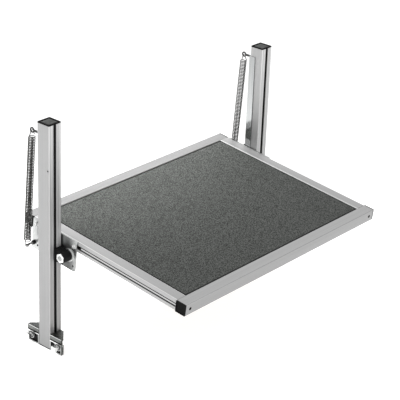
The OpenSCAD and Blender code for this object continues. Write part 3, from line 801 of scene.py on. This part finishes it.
def cast_metal():
    """Cast metal, toned on its outer face, with painted shade in the pockets."""
    finish = plated("cast_bracket", (0.11, 0.116, 0.112), 0.32, spread=0.07)
    x, _, z = finish.axes(finish.place)
    behind = finish.reckon("SUBTRACT", BRACKET_FACE, positive(finish, x))
    past_mouth = finish.fade(behind, *POCKET_MOUTH)
    above_floor = finish.fade(behind, *POCKET_FLOOR)
    # Painted shade in the pockets behind the outer face.
    pocket = finish.reckon("MULTIPLY", past_mouth, above_floor)
    # The proud outer face takes the face tones, painted highlights and shade included.
    paler = finish.mixed(finish.fade(behind, *PROUD), finish.tone, face_tone(finish, z))
    finish.colour_from(finish.mixed(pocket, paler, POCKET_SHADE))
    finish.bump(finish.drift, strength=0.35, distance=CAST_HEIGHT)
    return finish


wear(cast_metal(), pair("front_bracket") + pair("rear_bracket"))
print("outer face of the brackets at x =", round(BRACKET_FACE, 4), "top at", round(BRACKET_TOP, 4))

# %% [markdown]
# ## The standing surface
#
# The mat is dark rubber with a pebbled skin: small rounded grains, some of them
# lighter, that catch the light from behind. Cells give the pebbles their form,
# and each pebble is painted darker towards its edge, as painted shade between
# the pebbles. Smaller cells draw a tone for each grain. Noise would serve too,
# but its clouds have no edges and look like stains. The rim is painted dark, as
# painted shade where the mat meets the frame. Below the mat is a dense board,
# which shows only from underneath.

# %% Mat and board
MAT_HALF_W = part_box("rubber_mat")[1].x
MAT_HALF_D = 236 * MM
MAT_RIM = 4 * MM
MAT_RIM_SHADE = grey(0.006)
MAT_GLOSS = 0.12
MAT_ROUGHNESS = (0.45, 0.7)
FLECK_SHARE = 0.6
PEBBLES = 380
PEBBLE_HEIGHT = 0.6 * MM
GRAINS = 700
CHIPS = 260
DUST = 700
DUST_SHARE = 0.45
DUST_HEIGHT = 0.2 * MM


def mat_rim(finish):
    """1 on a narrow rim round the mat and 0 within it."""
    x, along, _ = on_platform(finish)
    sides = finish.fade(positive(finish, x), MAT_HALF_W - MAT_RIM, MAT_HALF_W - MAT_RIM / 2)
    from_middle = from_centre(finish, along, RAIL_SPAN / 2)
    ends = finish.fade(from_middle, MAT_HALF_D - MAT_RIM, MAT_HALF_D - MAT_RIM / 2)
    return finish.reckon("MAXIMUM", sides, ends)


def pebbled_rubber():
    finish = Finish("pebbled_rubber", grey(0.1), 0.55)
    finish.give(finish.shader, "Specular IOR Level", MAT_GLOSS)
    pebbles = finish.cells(finish.place, PEBBLES)
    grains = finish.cells(finish.place, GRAINS, output="Color")
    # Painted shade: each pebble darkens towards its edge.
    pebble_shade = finish.ramp(pebbles, (0.1, (0.03, 0.033, 0.03)), (0.7, (0.005, 0.006, 0.005)))
    flecks = finish.ramp(grains, (0.36, (0.004, 0.005, 0.004)), (0.66, (0.11, 0.114, 0.109)))
    skin = finish.mixed(FLECK_SHARE, pebble_shade, flecks)
    # Painted shade on the rim, where the mat meets the frame.
    finish.colour_from(finish.mixed(mat_rim(finish), skin, MAT_RIM_SHADE))
    finish.roughness_from(grains, *MAT_ROUGHNESS)
    finish.bump(pebbles, strength=0.6, distance=-PEBBLE_HEIGHT)
    return finish


def particle_board():
    finish = Finish("particle_board", (0.32, 0.24, 0.16), 0.7)
    chips = finish.cells(finish.place, CHIPS)
    dust = finish.noise(finish.place, scale=DUST, detail=4)
    chip_tone = finish.ramp(chips, (0.1, (0.38, 0.28, 0.18)), (0.8, (0.24, 0.17, 0.11)))
    dust_tone = finish.ramp(dust, (0.35, (0.26, 0.19, 0.12)), (0.7, (0.42, 0.33, 0.22)))
    finish.colour_from(finish.mixed(DUST_SHARE, chip_tone, dust_tone))
    finish.bump(dust, strength=0.2, distance=DUST_HEIGHT)
    return finish


wear(pebbled_rubber(), ["rubber_mat"])
wear(particle_board(), ["board"])

plain = [name for name, part in NODES.items() if part.material_slots[0].link == "DATA"]
print("parts left plain, because their own wire comes below:", plain)

# %% [markdown]
# ## Broken edges
#
# No real edge is perfectly sharp: a saw cut is deburred and a moulding has a
# radius, and that thin rounded line is what catches the light. The construction
# has plain edges. Bevels could be cut into its meshes, but these must stay as
# they are, so modifiers break the edges on top of them: the doubled points are
# welded, flat faces are joined, each edge gets a small bevel, and weighted
# normals keep the flat faces flat.

# %% Break the edges
EDGE_ANGLE = math.radians(35)
FLAT_ANGLE = math.radians(0.5)
WELD_GAP = 0.01 * MM
FLAT_WEIGHT = 80
SAWN_EDGE = 0.35 * MM
SHEET_EDGE = 0.3 * MM
MADE_EDGE = 0.5 * MM
RUBBER_EDGE = 1.2 * MM


def smooth_group():
    """A one-step node group that makes a whole mesh smooth shaded."""
    group = bpy.data.node_groups.new("shade_smooth", "GeometryNodeTree")
    group.interface.new_socket("Geometry", in_out="INPUT", socket_type="NodeSocketGeometry")
    group.interface.new_socket("Geometry", in_out="OUTPUT", socket_type="NodeSocketGeometry")
    start = group.nodes.new("NodeGroupInput")
    end = group.nodes.new("NodeGroupOutput")
    step = group.nodes.new("GeometryNodeSetShadeSmooth")
    group.links.new(start.outputs[0], step.inputs["Geometry"])
    group.links.new(step.outputs["Geometry"], end.inputs[0])
    return group


SMOOTH = smooth_group()


def break_edges(names, width, segments=2, even=True):
    """Bevels of a width; where even, weighted normals keep the faces flat."""
    for name in names:
        part = NODES[name]
        weld = part.modifiers.new("weld", "WELD")
        weld.merge_threshold = WELD_GAP
        flat = part.modifiers.new("flat", "DECIMATE")
        flat.decimate_type = "DISSOLVE"
        flat.angle_limit = FLAT_ANGLE
        bevel = part.modifiers.new("bevel", "BEVEL")
        bevel.width = width
        bevel.segments = segments
        bevel.limit_method = "ANGLE"
        bevel.angle_limit = EDGE_ANGLE
        bevel.use_clamp_overlap = True
        if not even:
            continue
        smooth = part.modifiers.new("smooth", "NODES")
        smooth.node_group = SMOOTH
        weighted = part.modifiers.new("weighted", "WEIGHTED_NORMAL")
        weighted.weight = FLAT_WEIGHT


break_edges(pair("post") + pair("side_rail") + ["front_rail", "rear_rail"], SAWN_EDGE, even=False)
break_edges(["post_top_caps", "post_foot_caps", "rail_end_caps"], MADE_EDGE)
break_edges(pair("side_plate") + pair("wear_strip"), SHEET_EDGE)
break_edges(pair("front_shoe") + pair("rear_pad"), RUBBER_EDGE, segments=3)
break_edges(pair("front_bracket") + pair("rear_bracket"), MADE_EDGE)
break_edges(pair("shoe_bolt") + ["plate_screws", "rubber_mat"], MADE_EDGE)
print("parts with broken edges:", sum(1 for part in NODES.values() if part.modifiers))

# %% [markdown]
# ## The springs' line
#
# Each spring is one wire: a half loop round the pin, a long open coil and a half
# loop through the eye. It could be a curve with a round bevel, but a line worked
# out by plain trigonometry keeps both ends exact and lets us cut the wire later.
# The coil is finer here than in the construction. It is a circle that rises
# evenly, and the wire's ends bend out of it and run into the hooks.

# %% Line of the wire
WIRE_R = 1.15 * MM
COIL_R = 8.3 * MM
TURNS = 68
TURN_STEPS = 16
HOOK_R = 5.6 * MM
HOOK_GAP = 0.3 * MM
HOOK_STEPS = 12
TAILS = (3.5 * MM, 6 * MM)
COIL_START = 12 * MM
COIL_STOP = 16.5 * MM
BEND = 5 * MM
BEND_TURN = math.radians(50)
BEND_STEPS = 6
PIN_R = 3 * MM
EYE_OUTER = 7.5 * MM
EYE_ROD = 2 * MM


def blended(low, high, share):
    """The value a share of the way from low to high."""
    return low + (high - low) * share


def on_coil(a, z):
    """Point of the coil's cylinder at an angle and a height."""
    return Vector((COIL_R * math.cos(a), COIL_R * math.sin(a), z))


def spring_line(span):
    """The wire's middle line: the pin is the origin and Z runs to the eye."""
    low = HOOK_R - PIN_R - HOOK_GAP - WIRE_R
    high = span - (EYE_OUTER - 2 * EYE_ROD) + HOOK_GAP + WIRE_R - HOOK_R + EYE_ROD
    coil_low, coil_high = COIL_START, span - COIL_STOP
    first, last = math.pi / 2, 2 * math.pi * TURNS

    def height(a):
        return blended(coil_low, coil_high, (a - first) / (last - first))

    def wide(z, hook_z, coil_end):
        return blended(HOOK_R, COIL_R, (z - hook_z) / (coil_end - hook_z))

    def bend(step, end, sign):
        s = step / BEND_STEPS
        a = end + sign * BEND_TURN * s * s
        return on_coil(a, height(a) - sign * BEND * (1 - s) ** 2)

    points = [Vector((0, -wide(coil_low - z, low, coil_low), coil_low - z)) for z in TAILS]
    for step in range(HOOK_STEPS + 1):
        a = math.pi * (1 + step / HOOK_STEPS)
        points.append(Vector((0, HOOK_R * math.cos(a), low + HOOK_R * math.sin(a))))
    points.append(Vector((0, wide(coil_low - BEND, low, coil_low), coil_low - BEND)))
    points += [bend(step, first, 1) for step in range(1, BEND_STEPS)]
    count = round((last - first - 2 * BEND_TURN) / (2 * math.pi) * TURN_STEPS)
    for step in range(count + 1):
        a = blended(first + BEND_TURN, last - BEND_TURN, step / count)
        points.append(on_coil(a, height(a)))
    points += [bend(step, last, -1) for step in range(BEND_STEPS - 1, 0, -1)]
    points.append(Vector((wide(coil_high + BEND, high, coil_high), 0, coil_high + BEND)))
    for step in range(HOOK_STEPS + 1):
        a = math.pi * step / HOOK_STEPS
        points.append(Vector((HOOK_R * math.cos(a), 0, high + HOOK_R * math.sin(a))))
    for z in reversed(TAILS):
        points.append(Vector((-wide(coil_high + z, high, coil_high), 0, coil_high + z)))
    return points


print("wire:", round(2 * WIRE_R / MM, 2), "mm thick,", TURNS, "turns")

# %% [markdown]
# ## The springs' wire
#
# A wire is a small ring of points carried along its line. Each new ring is turned
# as little as possible against the one before, so that the wire doesn't twist.
# Both ends are closed, because an open tube would show its inside.

# %% Sweep the wire
WIRE_SIDES = 8


def sweep(name, line, radius, sides):
    """A closed tube along a line, its rings turned as little as possible."""
    last = len(line) - 1
    heading = [(line[min(i + 1, last)] - line[max(i - 1, 0)]).normalized() for i in range(last + 1)]
    across = heading[0].orthogonal().normalized()
    points, faces = [], []
    for i, place in enumerate(line):
        across = (across - heading[i] * across.dot(heading[i])).normalized()
        up = heading[i].cross(across)
        for k in range(sides):
            a = 2 * math.pi * k / sides
            points.append(place + across * (radius * math.cos(a)) + up * (radius * math.sin(a)))
    for i in range(last):
        for k in range(sides):
            a, b = i * sides + k, i * sides + (k + 1) % sides
            faces.append((a, b, b + sides, a + sides))
    end = last * sides
    faces.append(tuple(reversed(range(sides))))
    faces.append(tuple(range(end, end + sides)))
    mesh = bpy.data.meshes.new(name)
    mesh.from_pydata(points, [], faces)
    mesh.polygons.foreach_set("use_smooth", [len(face.vertices) == 4 for face in mesh.polygons])
    mesh.update()
    piece = bpy.data.objects.new(name, mesh)
    bpy.context.scene.collection.objects.link(piece)
    return piece


print("sides of the wire:", WIRE_SIDES)

# %% [markdown]
# ## Springs in two pieces
#
# When the platform moves, the wire has to stretch, and when it tilts, the lower
# hook has to follow its pin. One piece can't do both, so the wire is cut inside
# the coil, where nobody sees it, into a long piece from the cut to the eye and a
# short one from the pin to the cut.

# %% Hang the springs
CUT_AT = 62 * MM
spring_wire = plated("spring_wire", (0.1, 0.1, 0.097), 0.25, spread=0.08)
for side, sign in (("left", -1), ("right", 1)):
    pin = middle(side + "_spring_pin")
    eye_low, eye_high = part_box(side + "_eye_bolt")
    pin.x = (eye_low.x + eye_high.x) / 2
    eye = Vector((pin.x, eye_high.y - EYE_OUTER, (eye_low.z + eye_high.z) / 2))
    span = (eye - pin).length
    upward = (eye - pin).normalized()
    outward = Vector((sign, 0, 0))
    rearward = upward.cross(outward) * sign
    line = [pin + outward * p.x + rearward * p.y + upward * p.z for p in spring_line(span)]
    cut = next(i for i, p in enumerate(line) if (p - pin).dot(upward) > CUT_AT)
    long_piece = sweep(side + "_spring_coil", line[cut:], WIRE_R, WIRE_SIDES)
    hook_piece = sweep(side + "_spring_hook", line[:cut + 1], WIRE_R, WIRE_SIDES)
    for piece in (long_piece, hook_piece):
        piece.data.materials.append(spring_wire.material)
        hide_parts(side + "_spring")
    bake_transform(long_piece)
    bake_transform(hook_piece)
    print(side, "spring:", round(span / MM, 1), "mm from pin to eye,", len(line), "rings")
